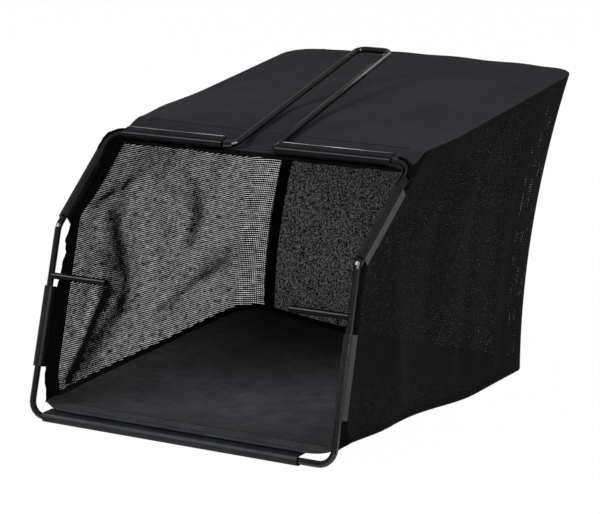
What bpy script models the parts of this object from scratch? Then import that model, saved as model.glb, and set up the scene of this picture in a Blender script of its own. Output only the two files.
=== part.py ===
"""Grass collection bag for a walk-behind lawn mower.

A bag of cloth and net hangs on one bent steel rod, which frames its mouth and carries the handle.
Plastic profiles sewn to the cloth snap over the rod. Two short pins hang the bag on the machine.
Units are metres. X runs across the mouth, +Y runs from the mouth to the back, +Z is up.
The origin is on the floor, under the middle of the frame's bottom bar.
"""

import math

import bmesh
import bpy
from mathutils import Matrix, Vector

# Steel rod of the frame
rod_radius = 0.003
rod_sides = 16
frame_width_bottom = 0.310
frame_width_kink = 0.3054
frame_width_top = 0.3125
kink_depth = 0.0466
kink_height = 0.165
top_bar_depth = 0.1404
top_bar_height = 0.2354
bottom_corner_radius = 0.014
kink_radius = 0.012
top_corner_radius = 0.013

# Carry handle, the two ends of the top bar bent back over the bag
handle_offset = -0.0045
handle_foot_half_width = 0.0198
handle_end_half_width = 0.018
handle_reach = 0.2360
handle_rise = 0.0581
handle_foot_radius = 0.010
handle_end_radius = 0.009

# Hanging pins, welded to the inner side of the lower posts
pin_radius = 0.003
pin_reach = 0.056
pin_height_on_post = 0.1265

# Plastic profile that snaps over the rod
seat_gap = 0.0003
clip_wall = 0.0012
clip_lip_depth = 0.008
clip_flange_depth = 0.012
clip_arc_steps = 12
bottom_clip_start = -0.140
bottom_clip_length = 0.262
top_left_clip_start = -0.1425
top_left_clip_length = 0.107
top_right_clip_start = 0.0205
top_right_clip_length = 0.1155
left_lower_clip_start = 0.044
right_lower_clip_start = 0.039
lower_clip_length = 0.073
left_upper_clip_start = 0.0105
right_upper_clip_start = 0.0055
upper_clip_length = 0.082

# Bag
cloth = 0.0012
seam_gap = 0.0003
hem_thickness = 0.0020
hem_width = 0.018
hem_step = 0.001
bag_depth_top = 0.4955
bag_depth_bottom = 0.388
bag_back_rise = 0.0396
bag_ease_top = 0.0085
bag_ease_bottom = 0.014
back_corner_radius = 0.030
back_lean_power = 2.1
cloth_setback = 0.005
flange_margin = 0.0035
front_band_width = 0.020
flare_end = 0.034
cloth_settles = 0.102
side_bulge = 0.004
back_bulge = 0.006
top_crown = 0.008
top_crown_fall = 0.6
top_crown_falls_from = 0.136
top_crown_falls_over = 0.170
top_corner_lift = 0.005
top_corner_lift_fades = 0.136
corner_cut = 0.008
corner_cut_reach = 0.013
corner_hold = 0.045
seat_lift = 0.0002

# How far the floor's side seams are pulled up off the floor
floor_corner_lift = 0.003
floor_side_lift = 0.012
floor_back_lift = 0.017
lift_reach = 0.75
left_lift_grows = 0.068
right_lift_fades = 0.12
right_lift_ends = 0.27

# Cloth folds: how deep they are, how many cross a panel and how far they lean
side_fold = 0.0018
side_fold_count = 2.0
back_fold = 0.0015
back_fold_count = 3.0
back_fold_phase = 0.6
fold_lean = 0.35
fold_margin = 0.2

# Open net of the side walls: rows of gaps between solid margins, as shares of the wall
net_gap_rows = 9
net_gap_columns = 7
net_row_margin = 0.05
net_front_margin = 0.045
net_back_margin = 0.02
net_gap_height = 0.30
net_gap_length = 0.86

# Binding tapes on the inner seams
tape_thickness = 0.0008
tape_gap = 0.0008
seam_tape_width = 0.011
back_tape_reach = 0.007

# Grid steps of the cloth panels
back_rows = 14
arc_steps = 4
across_steps = 10
band_shares = (0.0, 0.55, 0.80, 1.0)

# Sizes that follow from the ones above
clip_inner_radius = rod_radius + seat_gap
clip_outer_radius = clip_inner_radius + clip_wall
bar_height = clip_outer_radius
bag_width_top_back = frame_width_top + bag_ease_top
bag_width_bottom_back = frame_width_bottom + bag_ease_bottom
bag_height_back = top_bar_height + bag_back_rise
cloth_inset = clip_outer_radius + seam_gap + cloth / 2
cloth_held = clip_flange_depth - cloth_setback + flange_margin
lower_slope = kink_depth / kink_height
upper_slope = (top_bar_depth - kink_depth) / (top_bar_height - kink_height)
handle_slope = math.atan2(handle_rise, handle_reach)
handle_direction = Vector((0, math.cos(handle_slope), math.sin(handle_slope)))
kink_softness = 0.004


def clear_scene():
    for obj in list(bpy.data.objects):
        bpy.data.objects.remove(obj, do_unlink=True)


def principled(name, colour, roughness, metallic=0.0):
    material = bpy.data.materials.new(name)
    material.use_nodes = True
    shader = material.node_tree.nodes["Principled BSDF"]
    shader.inputs["Base Color"].default_value = (*colour, 1.0)
    shader.inputs["Roughness"].default_value = roughness
    shader.inputs["Metallic"].default_value = metallic
    material.diffuse_color = (*colour, 1.0)
    return material


def black_enamel(name):
    return principled(name, (0.008, 0.008, 0.009), 0.22, 0.0)


def black_plastic(name):
    return principled(name, (0.014, 0.015, 0.019), 0.35)


def dark_cloth(name):
    return principled(name, (0.032, 0.033, 0.037), 0.85)


def black_net(name):
    return principled(name, (0.018, 0.018, 0.020), 0.80)


def black_tape(name):
    return principled(name, (0.010, 0.010, 0.011), 0.75)


def link(obj, material):
    bpy.context.scene.collection.objects.link(obj)
    obj.data.materials.append(material)
    return obj


def smooth(mesh, angle=40):
    mesh.shade_smooth()
    mesh.set_sharp_from_angle(angle=math.radians(angle))


def lerp(a, b, t):
    return a + (b - a) * t


def ease(t):
    """A smooth step from 0 to 1."""
    t = min(max(t, 0.0), 1.0)
    return t * t * (3 - 2 * t)


# Rod paths


def rounded_path(corners, closed, step=math.radians(13)):
    """Points of a path through these corners, each a (point, radius), with an arc at every radius."""
    points = []
    count = len(corners)
    for index, (corner, radius) in enumerate(corners):
        if radius == 0 or (not closed and index in (0, count - 1)):
            points.append(corner.copy())
            continue
        before = (corners[index - 1][0] - corner).normalized()
        after = (corners[(index + 1) % count][0] - corner).normalized()
        half = before.angle(after) / 2
        centre = corner + (before + after).normalized() * (radius / math.sin(half))
        start = corner + before * (radius / math.tan(half)) - centre
        turn = math.pi - 2 * half
        axis = before.cross(after).normalized() * -1
        steps = max(3, round(turn / step))
        for k in range(steps + 1):
            points.append(centre + Matrix.Rotation(turn * k / steps, 3, axis) @ start)
    return points


def rod(name, points, radius, closed):
    curve = bpy.data.curves.new(name, "CURVE")
    curve.dimensions = "3D"
    curve.bevel_depth = radius
    curve.bevel_resolution = rod_sides // 4 - 1
    curve.use_fill_caps = not closed
    spline = curve.splines.new("POLY")
    spline.points.add(len(points) - 1)
    for slot, point in zip(spline.points, points):
        slot.co = (*point, 1.0)
    spline.use_cyclic_u = closed
    spline.use_smooth = True
    return bpy.data.objects.new(name, curve)


def post_corner(side, level):
    """Where the straight runs of a post would meet: at the bottom, the kink and the top."""
    width, depth, height = {
        "bottom": (frame_width_bottom, 0.0, 0.0),
        "kink": (frame_width_kink, kink_depth, kink_height),
        "top": (frame_width_top, top_bar_depth, top_bar_height),
    }[level]
    return Vector((side * width / 2, depth, bar_height + height))


def make_frame():
    """One rod: bottom bar, two kinked posts, two halves of the top bar, and the handle between them."""
    middle = Vector((handle_offset, top_bar_depth, bar_height + top_bar_height))
    foot = {side: middle + Vector((side * handle_foot_half_width, 0, 0)) for side in (1, -1)}
    reach = Vector((0, handle_reach, handle_rise))
    end = {side: middle + reach + Vector((side * handle_end_half_width, 0, 0)) for side in (1, -1)}
    right = [
        (post_corner(1, "bottom"), bottom_corner_radius),
        (post_corner(1, "kink"), kink_radius),
        (post_corner(1, "top"), top_corner_radius),
        (foot[1], handle_foot_radius),
        (end[1], handle_end_radius),
    ]
    left = [
        (end[-1], handle_end_radius),
        (foot[-1], handle_foot_radius),
        (post_corner(-1, "top"), top_corner_radius),
        (post_corner(-1, "kink"), kink_radius),
        (post_corner(-1, "bottom"), bottom_corner_radius),
    ]
    points = rounded_path(right + left, closed=True)
    return link(rod("wire_frame", points, rod_radius, closed=True), black_enamel("frame_enamel"))


def cylinder(name, start, end, radius, sides):
    mesh = bpy.data.meshes.new(name)
    shape = bmesh.new()
    length = (end - start).length
    bmesh.ops.create_cone(
        shape, cap_ends=True, segments=sides, radius1=radius, radius2=radius, depth=length
    )
    shape.to_mesh(mesh)
    shape.free()
    obj = bpy.data.objects.new(name, mesh)
    obj.location = (start + end) / 2
    obj.rotation_mode = "QUATERNION"
    obj.rotation_quaternion = (end - start).to_track_quat("Z", "Y")
    return obj


def make_pin(side, name):
    """A straight pin, its outer end coped round the post that it is welded to."""
    low, high = post_corner(side, "bottom"), post_corner(side, "kink")
    along = (high - low).normalized()
    root = low + along * pin_height_on_post
    tip = root + Vector((-side * (pin_reach + rod_radius), 0, 0))
    pin = link(cylinder(name, root, tip, pin_radius, rod_sides), black_enamel(name + "_enamel"))
    smooth(pin.data)
    cope = cylinder(
        name + "_cope",
        root - along * 4 * pin_radius,
        root + along * 4 * pin_radius,
        rod_radius + seat_gap,
        2 * rod_sides,
    )
    bpy.context.scene.collection.objects.link(cope)
    cope.hide_render = True
    cope.display_type = "WIRE"
    cut = pin.modifiers.new("cope", "BOOLEAN")
    cut.operation = "DIFFERENCE"
    cut.solver = "EXACT"
    cut.object = cope
    return pin


# Plastic profiles


def clip_section():
    """The profile's outline as (back, out) points: a half ring in front, an outer lip and a flange."""
    half_step = math.pi / (2 * clip_arc_steps)
    angles = [math.pi / 2 + half_step + k * math.pi / clip_arc_steps for k in range(clip_arc_steps)]
    grow = 1 / math.cos(half_step)
    outer = [(clip_outer_radius * grow * math.cos(a), clip_outer_radius * grow * math.sin(a)) for a in angles]
    inner = [(clip_inner_radius * grow * math.cos(a), clip_inner_radius * grow * math.sin(a)) for a in angles]
    bevel = clip_wall / 3
    lip_out = [(clip_lip_depth, clip_outer_radius - bevel), (clip_lip_depth - bevel, clip_outer_radius)]
    flange = [(clip_flange_depth, -clip_outer_radius), (clip_flange_depth, -clip_inner_radius)]
    lip_in = [(clip_lip_depth - bevel, clip_inner_radius), (clip_lip_depth, clip_inner_radius + bevel)]
    return lip_out + outer_to_front(outer) + flange + outer_to_front(inner)[::-1] + lip_in


def outer_to_front(ring):
    """The ring's points in order from the outer side, round the front, to the inner side."""
    return sorted(ring, key=lambda point: -point[1])


def make_clip(name, start, end, back, out, first, length):
    """A straight length of the profile on the run from start to end, beginning at a distance first."""
    section = clip_section()
    mesh = bpy.data.meshes.new(name)
    shape = bmesh.new()
    ring = [shape.verts.new((-length / 2, b, n)) for b, n in section]
    face = shape.faces.new(ring)
    swept = bmesh.ops.extrude_face_region(shape, geom=[face])
    moved = [item for item in swept["geom"] if isinstance(item, bmesh.types.BMVert)]
    bmesh.ops.translate(shape, verts=moved, vec=(length, 0, 0))
    bmesh.ops.recalc_face_normals(shape, faces=shape.faces)
    shape.to_mesh(mesh)
    shape.free()
    smooth(mesh)
    obj = link(bpy.data.objects.new(name, mesh), black_plastic(name + "_plastic"))
    along = (end - start).normalized()
    middle = start + along * (first + length / 2)
    run = back.cross(out).normalized()
    turn = Matrix((run, back, out)).transposed().to_4x4()
    obj.matrix_world = Matrix.Translation(middle) @ turn
    return obj


def make_clips():
    outer_of = {1: Vector((1, 0, 0)), -1: Vector((-1, 0, 0))}
    bar_left, bar_right = post_corner(-1, "bottom"), post_corner(1, "bottom")
    centre = (bar_left + bar_right) / 2
    make_clip(
        "bottom_clip", centre, bar_right, Vector((0, 1, 0)), Vector((0, 0, -1)),
        bottom_clip_start, bottom_clip_length,
    )
    top_left, top_right = post_corner(-1, "top"), post_corner(1, "top")
    centre = (top_left + top_right) / 2
    top_out = Vector((0, -math.sin(handle_slope), math.cos(handle_slope)))
    for name, first, length in (
        ("top_left_clip", top_left_clip_start, top_left_clip_length),
        ("top_right_clip", top_right_clip_start, top_right_clip_length),
    ):
        make_clip(name, centre, top_right, handle_direction, top_out, first, length)
    for side, word, lower, upper in (
        (-1, "left", left_lower_clip_start, left_upper_clip_start),
        (1, "right", right_lower_clip_start, right_upper_clip_start),
    ):
        low, kink, top = (post_corner(side, level) for level in ("bottom", "kink", "top"))
        for part, start, end, first, length in (
            ("lower", low, kink, lower, lower_clip_length),
            ("upper", kink, top, upper, upper_clip_length),
        ):
            along = (end - start).normalized()
            out = (outer_of[side] - along * along.dot(outer_of[side])).normalized()
            back = along.cross(out)
            back = back if back.y > 0 else -back
            make_clip(f"{word}_{part}_clip", start, end, back, out, first, length)


# The bag's surfaces. v runs up a wall from 0 at the floor to 1 at the top seam.


def frame_lean(height):
    """How far the frame has leaned back at this height above the bottom bar, and its slope there."""
    x = (height - kink_height) / kink_softness
    soft = kink_softness * (math.log1p(math.exp(-abs(x))) + max(x, 0.0))
    rise = 1 / (1 + math.exp(-x))
    extra = upper_slope - lower_slope
    return lower_slope * height + extra * soft, lower_slope + extra * rise


def frame_half_width(height):
    if height < kink_height:
        return lerp(frame_width_bottom, frame_width_kink, height / kink_height) / 2
    share = (height - kink_height) / (top_bar_height - kink_height)
    return lerp(frame_width_kink, frame_width_top, share) / 2


front_low = cloth_inset
front_high = (
    top_bar_height
    + cloth_setback * math.sin(handle_slope)
    - cloth_inset * math.cos(handle_slope)
)


def front_edge(v):
    """The cloth's front edge behind a post: depth, height above the floor, and depth per distance back."""
    height = lerp(front_low, front_high, v)
    lean, slope = frame_lean(height)
    stretch = math.sqrt(1 + slope * slope)
    reach = (height - front_low) / corner_cut_reach
    setback = cloth_setback + corner_cut * math.exp(-reach * reach)
    return lean + setback * stretch, bar_height + height, stretch


def back_edge(v):
    """Half width, depth and height of the bag's back corner."""
    half = lerp(bag_width_bottom_back, bag_width_top_back, v) / 2
    depth = lerp(bag_depth_bottom, bag_depth_top, v**back_lean_power)
    return half, depth, lerp(seat_lift + cloth / 2, bag_height_back, v)


def off_the_frame(away):
    """How free the cloth is of the profiles at this distance behind its front edge: 0 held, 1 free."""
    return ease((away - cloth_held) / (flare_end - cloth_held))


def floor_height(y):
    """Middle of the floor cloth: it leaves the bar's profile and comes down onto the floor."""
    start = cloth_setback + clip_flange_depth
    rest = seat_lift + cloth / 2
    drop = bar_height + cloth_inset - rest
    return rest + drop * (1 - ease((y - start) / (cloth_settles - start)))


def side_lift(y, side):
    """How far a floor side seam hangs above the floor cloth's middle."""
    grown = ease((y - cloth_setback) / cloth_settles)
    lift = lerp(floor_corner_lift, floor_side_lift, grown)
    if side < 0:
        back = ease((y - left_lift_grows) / (bag_depth_bottom - left_lift_grows))
        return lerp(lift, floor_back_lift, back)
    return lift * (1 - ease((y - right_lift_fades) / (right_lift_ends - right_lift_fades)))


def floor_lift(y, share):
    """The floor cloth's dish at a share of its width, from 0 at the left seam to 1 at the right one."""
    start = clip_flange_depth + cloth_setback
    reach = lerp(corner_hold, lift_reach, ease((y - start) / cloth_settles))
    left = max(0.0, 1 - share / reach) ** 2
    right = max(0.0, 1 - (1 - share) / reach) ** 2
    return left * side_lift(y, -1) + right * side_lift(y, 1)


def top_seam_height(y, side):
    """Middle of the top cloth at the side seams: a straight slope that starts low, behind the bar."""
    share = (y - top_bar_depth) / (bag_depth_top - top_bar_depth)
    line = lerp(bar_height + top_bar_height, bag_height_back, share)
    away = y - top_bar_depth
    low = cloth_inset * (1 - off_the_frame(away - cloth_setback))
    lift = top_corner_lift if side < 0 else 0.0
    fade = ease((away - flare_end) / top_corner_lift_fades)
    return line - low + lift * ease(away / flare_end) * (1 - fade)


def side_station(v, station):
    """Depth of a station on a side wall. A station is (kind, value)."""
    kind, value = station
    y_front, _, stretch = front_edge(v)
    _, y_back, _ = back_edge(v)
    y_band = y_front + front_band_width * stretch
    if kind == "band":
        return y_front + value * front_band_width * stretch
    return lerp(y_band + seam_gap * stretch, y_back - back_corner_radius, value)


def fold(v, share, count, depth, phase):
    """Soft folds that hang from the top seam: they die out at the edges of the panel."""
    edges = math.sqrt(math.sin(math.pi * v)) * ease(share / fold_margin) * ease((1 - share) / fold_margin)
    lean = fold_lean * (v - 0.5)
    return depth * edges * math.sin(2 * math.pi * count * (share + lean) + phase)


def wall_height(side, station, v):
    """Height of a point on the side or back wall, between the floor seam and the top seam."""
    y_front, z_front, _ = front_edge(v)
    _, y_back, z_back = back_edge(v)
    share = (seam_depth(v, station) - y_front) / (y_back - y_front)
    y_low, y_high = seam_depth(0, station), seam_depth(1, station)
    across = station[1] / 2 if station[0] == "back" else 0.0
    low = floor_height(y_low) - cloth / 2 + floor_lift(y_low, across if side < 0 else 1 - across)
    high = top_seam_height(y_high, side) + cloth / 2
    z = lerp(z_front, z_back, share)
    z += (1 - v) * (low - lerp(front_edge(0)[1], back_edge(0)[2], share))
    z += v * (high - lerp(front_edge(1)[1], back_edge(1)[2], share))
    return z


def side_half_width(side, y, z, v):
    """Half width of the bag on a side wall. Near the frame the cloth lies along the clip's flange."""
    half, y_back, _ = back_edge(v)
    y_front, z_front, stretch = front_edge(v)
    lean, slope = frame_lean(z_front - bar_height)
    foot = z_front - bar_height + ((y - lean) * slope + z - z_front) / stretch**2
    behind = (y - lean - (z - z_front) * slope) / stretch
    post = frame_half_width(min(foot, top_bar_height))
    share = (y - y_front) / (y_back - back_corner_radius - y_front)
    free = off_the_frame(behind - cloth_setback)
    x = lerp(post, half, share * free) - cloth_inset * (1 - free)
    x += free * side_bulge * math.sin(math.pi * v) * math.sin(math.pi * share)
    return x + free * fold(v, share, side_fold_count, side_fold, side)


def wall_point(side, station, v, inset):
    """A point on the side or back wall. inset moves it in from the middle of the cloth."""
    kind, value = station
    half, y_back, _ = back_edge(v)
    z = wall_height(side, station, v)
    if kind in ("band", "run"):
        y = side_station(v, station)
        x = side_half_width(side, y, z, v) - inset
    elif kind == "arc":
        angle = value * math.pi / 2
        radius = back_corner_radius - inset
        x = half - back_corner_radius + radius * math.cos(angle)
        y = y_back - back_corner_radius + radius * math.sin(angle)
    else:
        x = lerp(half - back_corner_radius, 0.0, value)
        across = 1 - value if side > 0 else value - 1
        y = y_back + back_bulge * math.sin(math.pi * v) * math.sin(math.pi * (1 + across) / 2)
        y += fold(v, (1 + across) / 2, back_fold_count, back_fold, back_fold_phase)
        y -= inset
    return Vector((side * x, y, z))


def between_margins(count, margin_low, margin_high, gap_share):
    """Edges of a row of gaps between two margins, as shares from 0 to 1."""
    pitch = (1 - margin_low - margin_high) / count
    edges = []
    for k in range(count):
        middle = margin_low + pitch * (k + 0.5)
        edges += [middle - pitch * gap_share / 2, middle + pitch * gap_share / 2]
    return edges


def wall_levels():
    """Levels of the wall's facets. Every second step, from the second one on, is a row of gaps."""
    return [0.0] + between_margins(net_gap_rows, net_row_margin, net_row_margin, net_gap_height) + [1.0]


def run_stations():
    """Stations along a side. Every second step, from the third one on, is a column of gaps."""
    edges = between_margins(net_gap_columns, net_front_margin, net_back_margin, net_gap_length)
    return [("run", share) for share in [0.0, edges[0] / 2] + edges + [1.0]]


def on_facets(side, station, v, inset):
    """The same point on the panel's flat facets, which a piece that lies on the panel follows."""
    levels = wall_levels()
    row = max(k for k, level in enumerate(levels[:-1]) if level <= v)
    low = wall_point(side, station, levels[row], inset)
    high = wall_point(side, station, levels[row + 1], inset)
    return low.lerp(high, (v - levels[row]) / (levels[row + 1] - levels[row]))


def seam_depth(v, station):
    """Depth of a station at the floor seam (v 0) or the top seam (v 1)."""
    kind, value = station
    _, y_back, _ = back_edge(v)
    if kind in ("band", "run"):
        return side_station(v, station)
    if kind == "arc":
        return y_back - back_corner_radius * (1 - math.sin(value * math.pi / 2))
    return y_back


def stations(kind, steps, first=0.0, last=1.0):
    return [(kind, lerp(first, last, k / steps)) for k in range(steps + 1)]


def back_columns(first):
    """Stations of the back from a corner seam to the middle, with one at the edge of the seam's tape."""
    reach = bag_width_bottom_back / 2 - back_corner_radius
    return [("back", first)] + stations("back", across_steps // 2, back_tape_reach / reach)


def sheet_solid(name, outer, inner, material, gaps=frozenset()):
    """A closed sheet between two grids of points of the same shape. Gaps are cells left open."""
    rows, columns = len(outer) - 1, len(outer[0]) - 1
    filled = {(i, j) for i in range(rows) for j in range(columns)} - gaps
    mesh = bpy.data.meshes.new(name)
    shape = bmesh.new()
    a = [[shape.verts.new(p) for p in row] for row in outer]
    b = [[shape.verts.new(p) for p in row] for row in inner]
    for i, j in sorted(filled):
        corners = [(i, j), (i, j + 1), (i + 1, j + 1), (i + 1, j)]
        beside = [(i - 1, j), (i, j + 1), (i + 1, j), (i, j - 1)]
        shape.faces.new([a[r][c] for r, c in corners])
        shape.faces.new([b[r][c] for r, c in reversed(corners)])
        for k, cell in enumerate(beside):
            if cell not in filled:
                (r0, c0), (r1, c1) = corners[k - 4], corners[k - 3]
                shape.faces.new((a[r1][c1], a[r0][c0], b[r0][c0], b[r1][c1]))
    bmesh.ops.recalc_face_normals(shape, faces=shape.faces)
    shape.to_mesh(mesh)
    shape.free()
    smooth(mesh)
    return link(bpy.data.objects.new(name, mesh), material)


def wall_sheet(name, side, columns, levels, insets, material, gaps=frozenset()):
    grids = [[[on_facets(side, station, v, inset) for station in columns] for v in levels] for inset in insets]
    return sheet_solid(name, *grids, material, gaps)


def round_the_back(columns, levels, inset):
    """A grid on the walls from the right front, round the back, to the left front."""
    grid = []
    for v in levels:
        right = [on_facets(1, station, v, inset) for station in columns]
        left = [on_facets(-1, station, v, inset) for station in columns]
        grid.append(right + left[::-1])
    return grid


def make_walls():
    levels = wall_levels()
    insets = (-cloth / 2, cloth / 2)
    gap_rows = range(1, 2 * net_gap_rows, 2)
    gap_columns = range(2, 2 * net_gap_columns + 1, 2)
    gaps = frozenset((i, j) for i in gap_rows for j in gap_columns)
    for side, word in ((-1, "left"), (1, "right")):
        band = [("band", share) for share in band_shares]
        wall_sheet(f"{word}_front_band", side, band, levels, insets, dark_cloth(f"{word}_band_cloth"))
        net = run_stations() + stations("arc", arc_steps)[1:]
        wall_sheet(f"{word}_net_panel", side, net, levels, insets, black_net(f"{word}_net"), gaps)
    make_back()


def make_back():
    """The back panel lies between the two side panels, edge to edge with them."""
    half = cloth / 2
    levels = [k / back_rows for k in range(back_rows + 1)]
    grids = []
    for inset in (-half, half):
        grid = []
        for v in levels:
            reach = back_edge(v)[0] - back_corner_radius
            first = seam_gap / reach
            right = [wall_point(1, s, v, inset) for s in back_columns(first)]
            left = [wall_point(-1, s, v, inset) for s in back_columns(first)]
            grid.append(right + left[-2::-1])
        grids.append(grid)
    sheet_solid("back_panel", *grids, black_net("back_net"))


def panel_stations(v):
    """Stations of the floor or top panel from front to back, with a step at the end of its hem."""
    reach = front_band_width * front_edge(v)[2]
    hem = [cloth_held / reach, hem_width / reach, (hem_width + hem_step) / reach]
    band = [("band", share) for share in sorted([*band_shares, *hem])]
    return band + run_stations() + stations("arc", arc_steps)[1:]


def panel_outline(v, extra_inset):
    """Left and right edge and depth of the floor or top panel, station by station from front to back."""
    outline = []
    half = cloth / 2 + seam_gap
    for station in panel_stations(v):
        lean = extra_inset * math.sin(station[1] * math.pi / 2) if station[0] == "arc" else 0.0
        point = {side: wall_point(side, station, v, half + lean) for side in (1, -1)}
        outline.append((point[-1].x, point[1].x, point[1].y))
    return outline


def flat_panel(name, rows, height, inward, material):
    """A floor or top panel. Rows are (left, right, depth), and the front hem is folded to the inside."""
    shares = [0.0, corner_hold] + [k / across_steps for k in range(1, across_steps)] + [1 - corner_hold, 1.0]
    hem_end = rows[0][2] + hem_width
    inner, outer = [], []
    for left, right, y in rows:
        thick = cloth if y > hem_end + hem_step / 2 else hem_thickness
        inner_row, outer_row = [], []
        for share in shares:
            x = lerp(left, right, share)
            y_here, z = height(y, share, min(x - left, right - x))
            inner_row.append((x, y_here, z + inward * (thick - cloth / 2)))
            outer_row.append((x, y_here, z - inward * cloth / 2))
        inner.append(inner_row)
        outer.append(outer_row)
    return sheet_solid(name, inner, outer, material)


def make_floor():
    edge = front_edge(0)[0]

    def height(y, share, from_side):
        reach = from_side / corner_cut_reach
        cut = math.exp(-reach * reach)
        relief = (edge - cloth_setback) * (1 - cut) * (1 - ease((y - edge) / flare_end))
        return y - relief, floor_height(y - relief) + floor_lift(y - relief, share)

    flat_panel("floor_panel", panel_outline(0, 0.0), height, 1, dark_cloth("floor_cloth"))


def make_top():
    lean = cloth * back_lean_power * (bag_depth_top - bag_depth_bottom) / bag_height_back

    def height(y, share, from_side):
        away = y - top_bar_depth
        seam = lerp(top_seam_height(y, -1), top_seam_height(y, 1), 1 - (1 - share) ** 3)
        start = clip_flange_depth + cloth_setback
        grown = ease((away - start) / cloth_settles)
        fall = 1 - top_crown_fall * ease((away - top_crown_falls_from) / top_crown_falls_over)
        arch = 1 - (2 * share - 1) ** 2
        return y, seam + top_crown * grown * fall * arch

    flat_panel("top_panel", panel_outline(1, lean), height, -1, dark_cloth("top_cloth"))


def make_tapes():
    """Binding tapes sewn over the inner seams: round the top, round the floor and up the back."""
    outer = cloth / 2 + tape_gap
    inner = outer + tape_thickness
    rise = front_high - front_low
    edge = (cloth + 2 * tape_gap) / rise
    wide = seam_tape_width / rise
    columns = run_stations() + stations("arc", arc_steps)[1:] + back_columns(0.0)[1:-1]
    for name, levels in (
        ("floor_seam_tape", (edge, edge + wide)),
        ("top_seam_tape", (1 - edge - wide, 1 - edge)),
    ):
        grids = [round_the_back(columns, levels, inset) for inset in (outer, inner)]
        sheet_solid(name, *grids, black_tape(name))
    gap = seam_gap / rise
    low, high = edge + wide + gap, 1 - edge - wide - gap
    levels = [low] + [level for level in wall_levels() if low < level < high] + [high]
    columns = stations("arc", arc_steps)[-2:] + back_columns(0.0)[1:2]
    for side, word in ((-1, "left"), (1, "right")):
        wall_sheet(f"back_{word}_tape", side, columns, levels, (outer, inner), black_tape(f"{word}_tape"))


def make_bag():
    make_walls()
    make_floor()
    make_top()
    make_tapes()


clear_scene()
make_frame()
make_pin(-1, "left_hanging_pin")
make_pin(1, "right_hanging_pin")
make_clips()
make_bag()
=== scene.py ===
"""Grass collection bag: its cloth, nets, hems and thread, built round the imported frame.

Units are metres. X runs across the mouth, +Y runs from the mouth to the back, +Z is up.
The origin is on the floor, under the middle of the frame's bottom bar.
"""

import math

import bpy
import numpy as np
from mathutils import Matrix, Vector


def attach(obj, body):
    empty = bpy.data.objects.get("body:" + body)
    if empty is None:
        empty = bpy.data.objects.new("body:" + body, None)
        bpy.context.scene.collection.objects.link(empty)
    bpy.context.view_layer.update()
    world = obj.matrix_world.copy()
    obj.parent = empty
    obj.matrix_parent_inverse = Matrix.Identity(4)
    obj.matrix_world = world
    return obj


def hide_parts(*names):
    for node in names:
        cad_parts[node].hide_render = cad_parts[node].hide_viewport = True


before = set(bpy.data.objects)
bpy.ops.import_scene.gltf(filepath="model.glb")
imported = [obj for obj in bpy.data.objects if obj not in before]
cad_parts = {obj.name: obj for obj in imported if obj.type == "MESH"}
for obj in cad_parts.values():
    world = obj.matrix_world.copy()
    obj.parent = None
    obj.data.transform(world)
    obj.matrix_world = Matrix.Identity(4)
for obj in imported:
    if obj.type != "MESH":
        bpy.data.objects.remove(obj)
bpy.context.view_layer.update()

# Sizes of the frame and the bag, the same as in the solids
frame_width_bottom = 0.310
frame_width_kink = 0.3054
frame_width_top = 0.3125
kink_depth = 0.0466
kink_height = 0.165
top_bar_depth = 0.1404
top_bar_height = 0.2354
handle_reach = 0.2360
handle_rise = 0.0581
clip_outer_radius = 0.0045
clip_flange_depth = 0.012
seam_gap = 0.0003
cloth = 0.0012
bag_depth_top = 0.4955
bag_depth_bottom = 0.388
bag_height_back = 0.275
bag_width_top_back = frame_width_top + 0.0085
bag_width_bottom_back = frame_width_bottom + 0.014
back_corner_radius = 0.030
back_lean_power = 2.1
cloth_setback = 0.005
flange_margin = 0.0035
front_band_width = 0.020
flare_end = 0.034
side_bulge = 0.004
back_bulge = 0.006
top_crown = 0.008
top_corner_lift = 0.005
corner_cut = 0.008
corner_cut_reach = 0.013
corner_hold = 0.045
seat_lift = 0.0002
floor_corner_lift = 0.003
floor_side_lift = 0.012
floor_back_lift = 0.017
lift_reach = 0.75
right_lift_fades = 0.12
right_lift_ends = 0.27
kink_softness = 0.004

bar_height = clip_outer_radius
cloth_inset = clip_outer_radius + seam_gap + cloth / 2
floor_rest = seat_lift + cloth / 2
flange_line = cloth_setback + clip_flange_depth
settled_at = 3 * flare_end
lower_slope = kink_depth / kink_height
upper_slope = (top_bar_depth - kink_depth) / (top_bar_height - kink_height)
handle_slope = math.atan2(handle_rise, handle_reach)
front_low = cloth_inset
front_high = (
    top_bar_height + cloth_setback * math.sin(handle_slope) - cloth_inset * math.cos(handle_slope)
)
front_rise = front_high - front_low

# Soft folds that run over a whole net
side_fold_depth = 0.0018
side_fold_count = 2.0
back_fold_depth = 0.0015
back_fold_count = 3.0
back_fold_span = 0.26
back_fold_fade = 0.125
fold_lean = 0.35
fold_edge = 0.2
seam_hold = 0.06
crease_overrun = 0.08
crease_fade = 0.12

# How far behind the frame the walls reach their full flare, on most of their height and at the
# top, and the top's left corner its full lift
wall_flare_end = 0.085
seam_flare_end = 0.045
seam_flare_level = 0.85
corner_lift_grows = 0.018

# Cloth, hems and thread of the visible pieces
cloth_thick = 0.0009
band_thick = 0.0012
band_overlap = 1.06
band_length = 0.27
floor_hem_end = 0.031
floor_hem_rise = 0.0010
floor_hem_step = 0.0006
top_hem_width = 0.042
top_hem_rise = 0.0005
top_hem_step = 0.0008
seam_binding_thick = 0.0006
corner_binding_thick = 0.0008
corner_binding_width = 0.012
corner_binding_length = 0.25
corner_binding_low = 0.004
corner_binding_high = 0.012
binding_clearance = 0.0006

# Levels of the front bands where no clip holds them: the bare middle, the foot and the head
bare_low = 0.47
bare_high = 0.74
foot_high = 0.165
head_low = 0.90
recede_fade = 0.05

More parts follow.
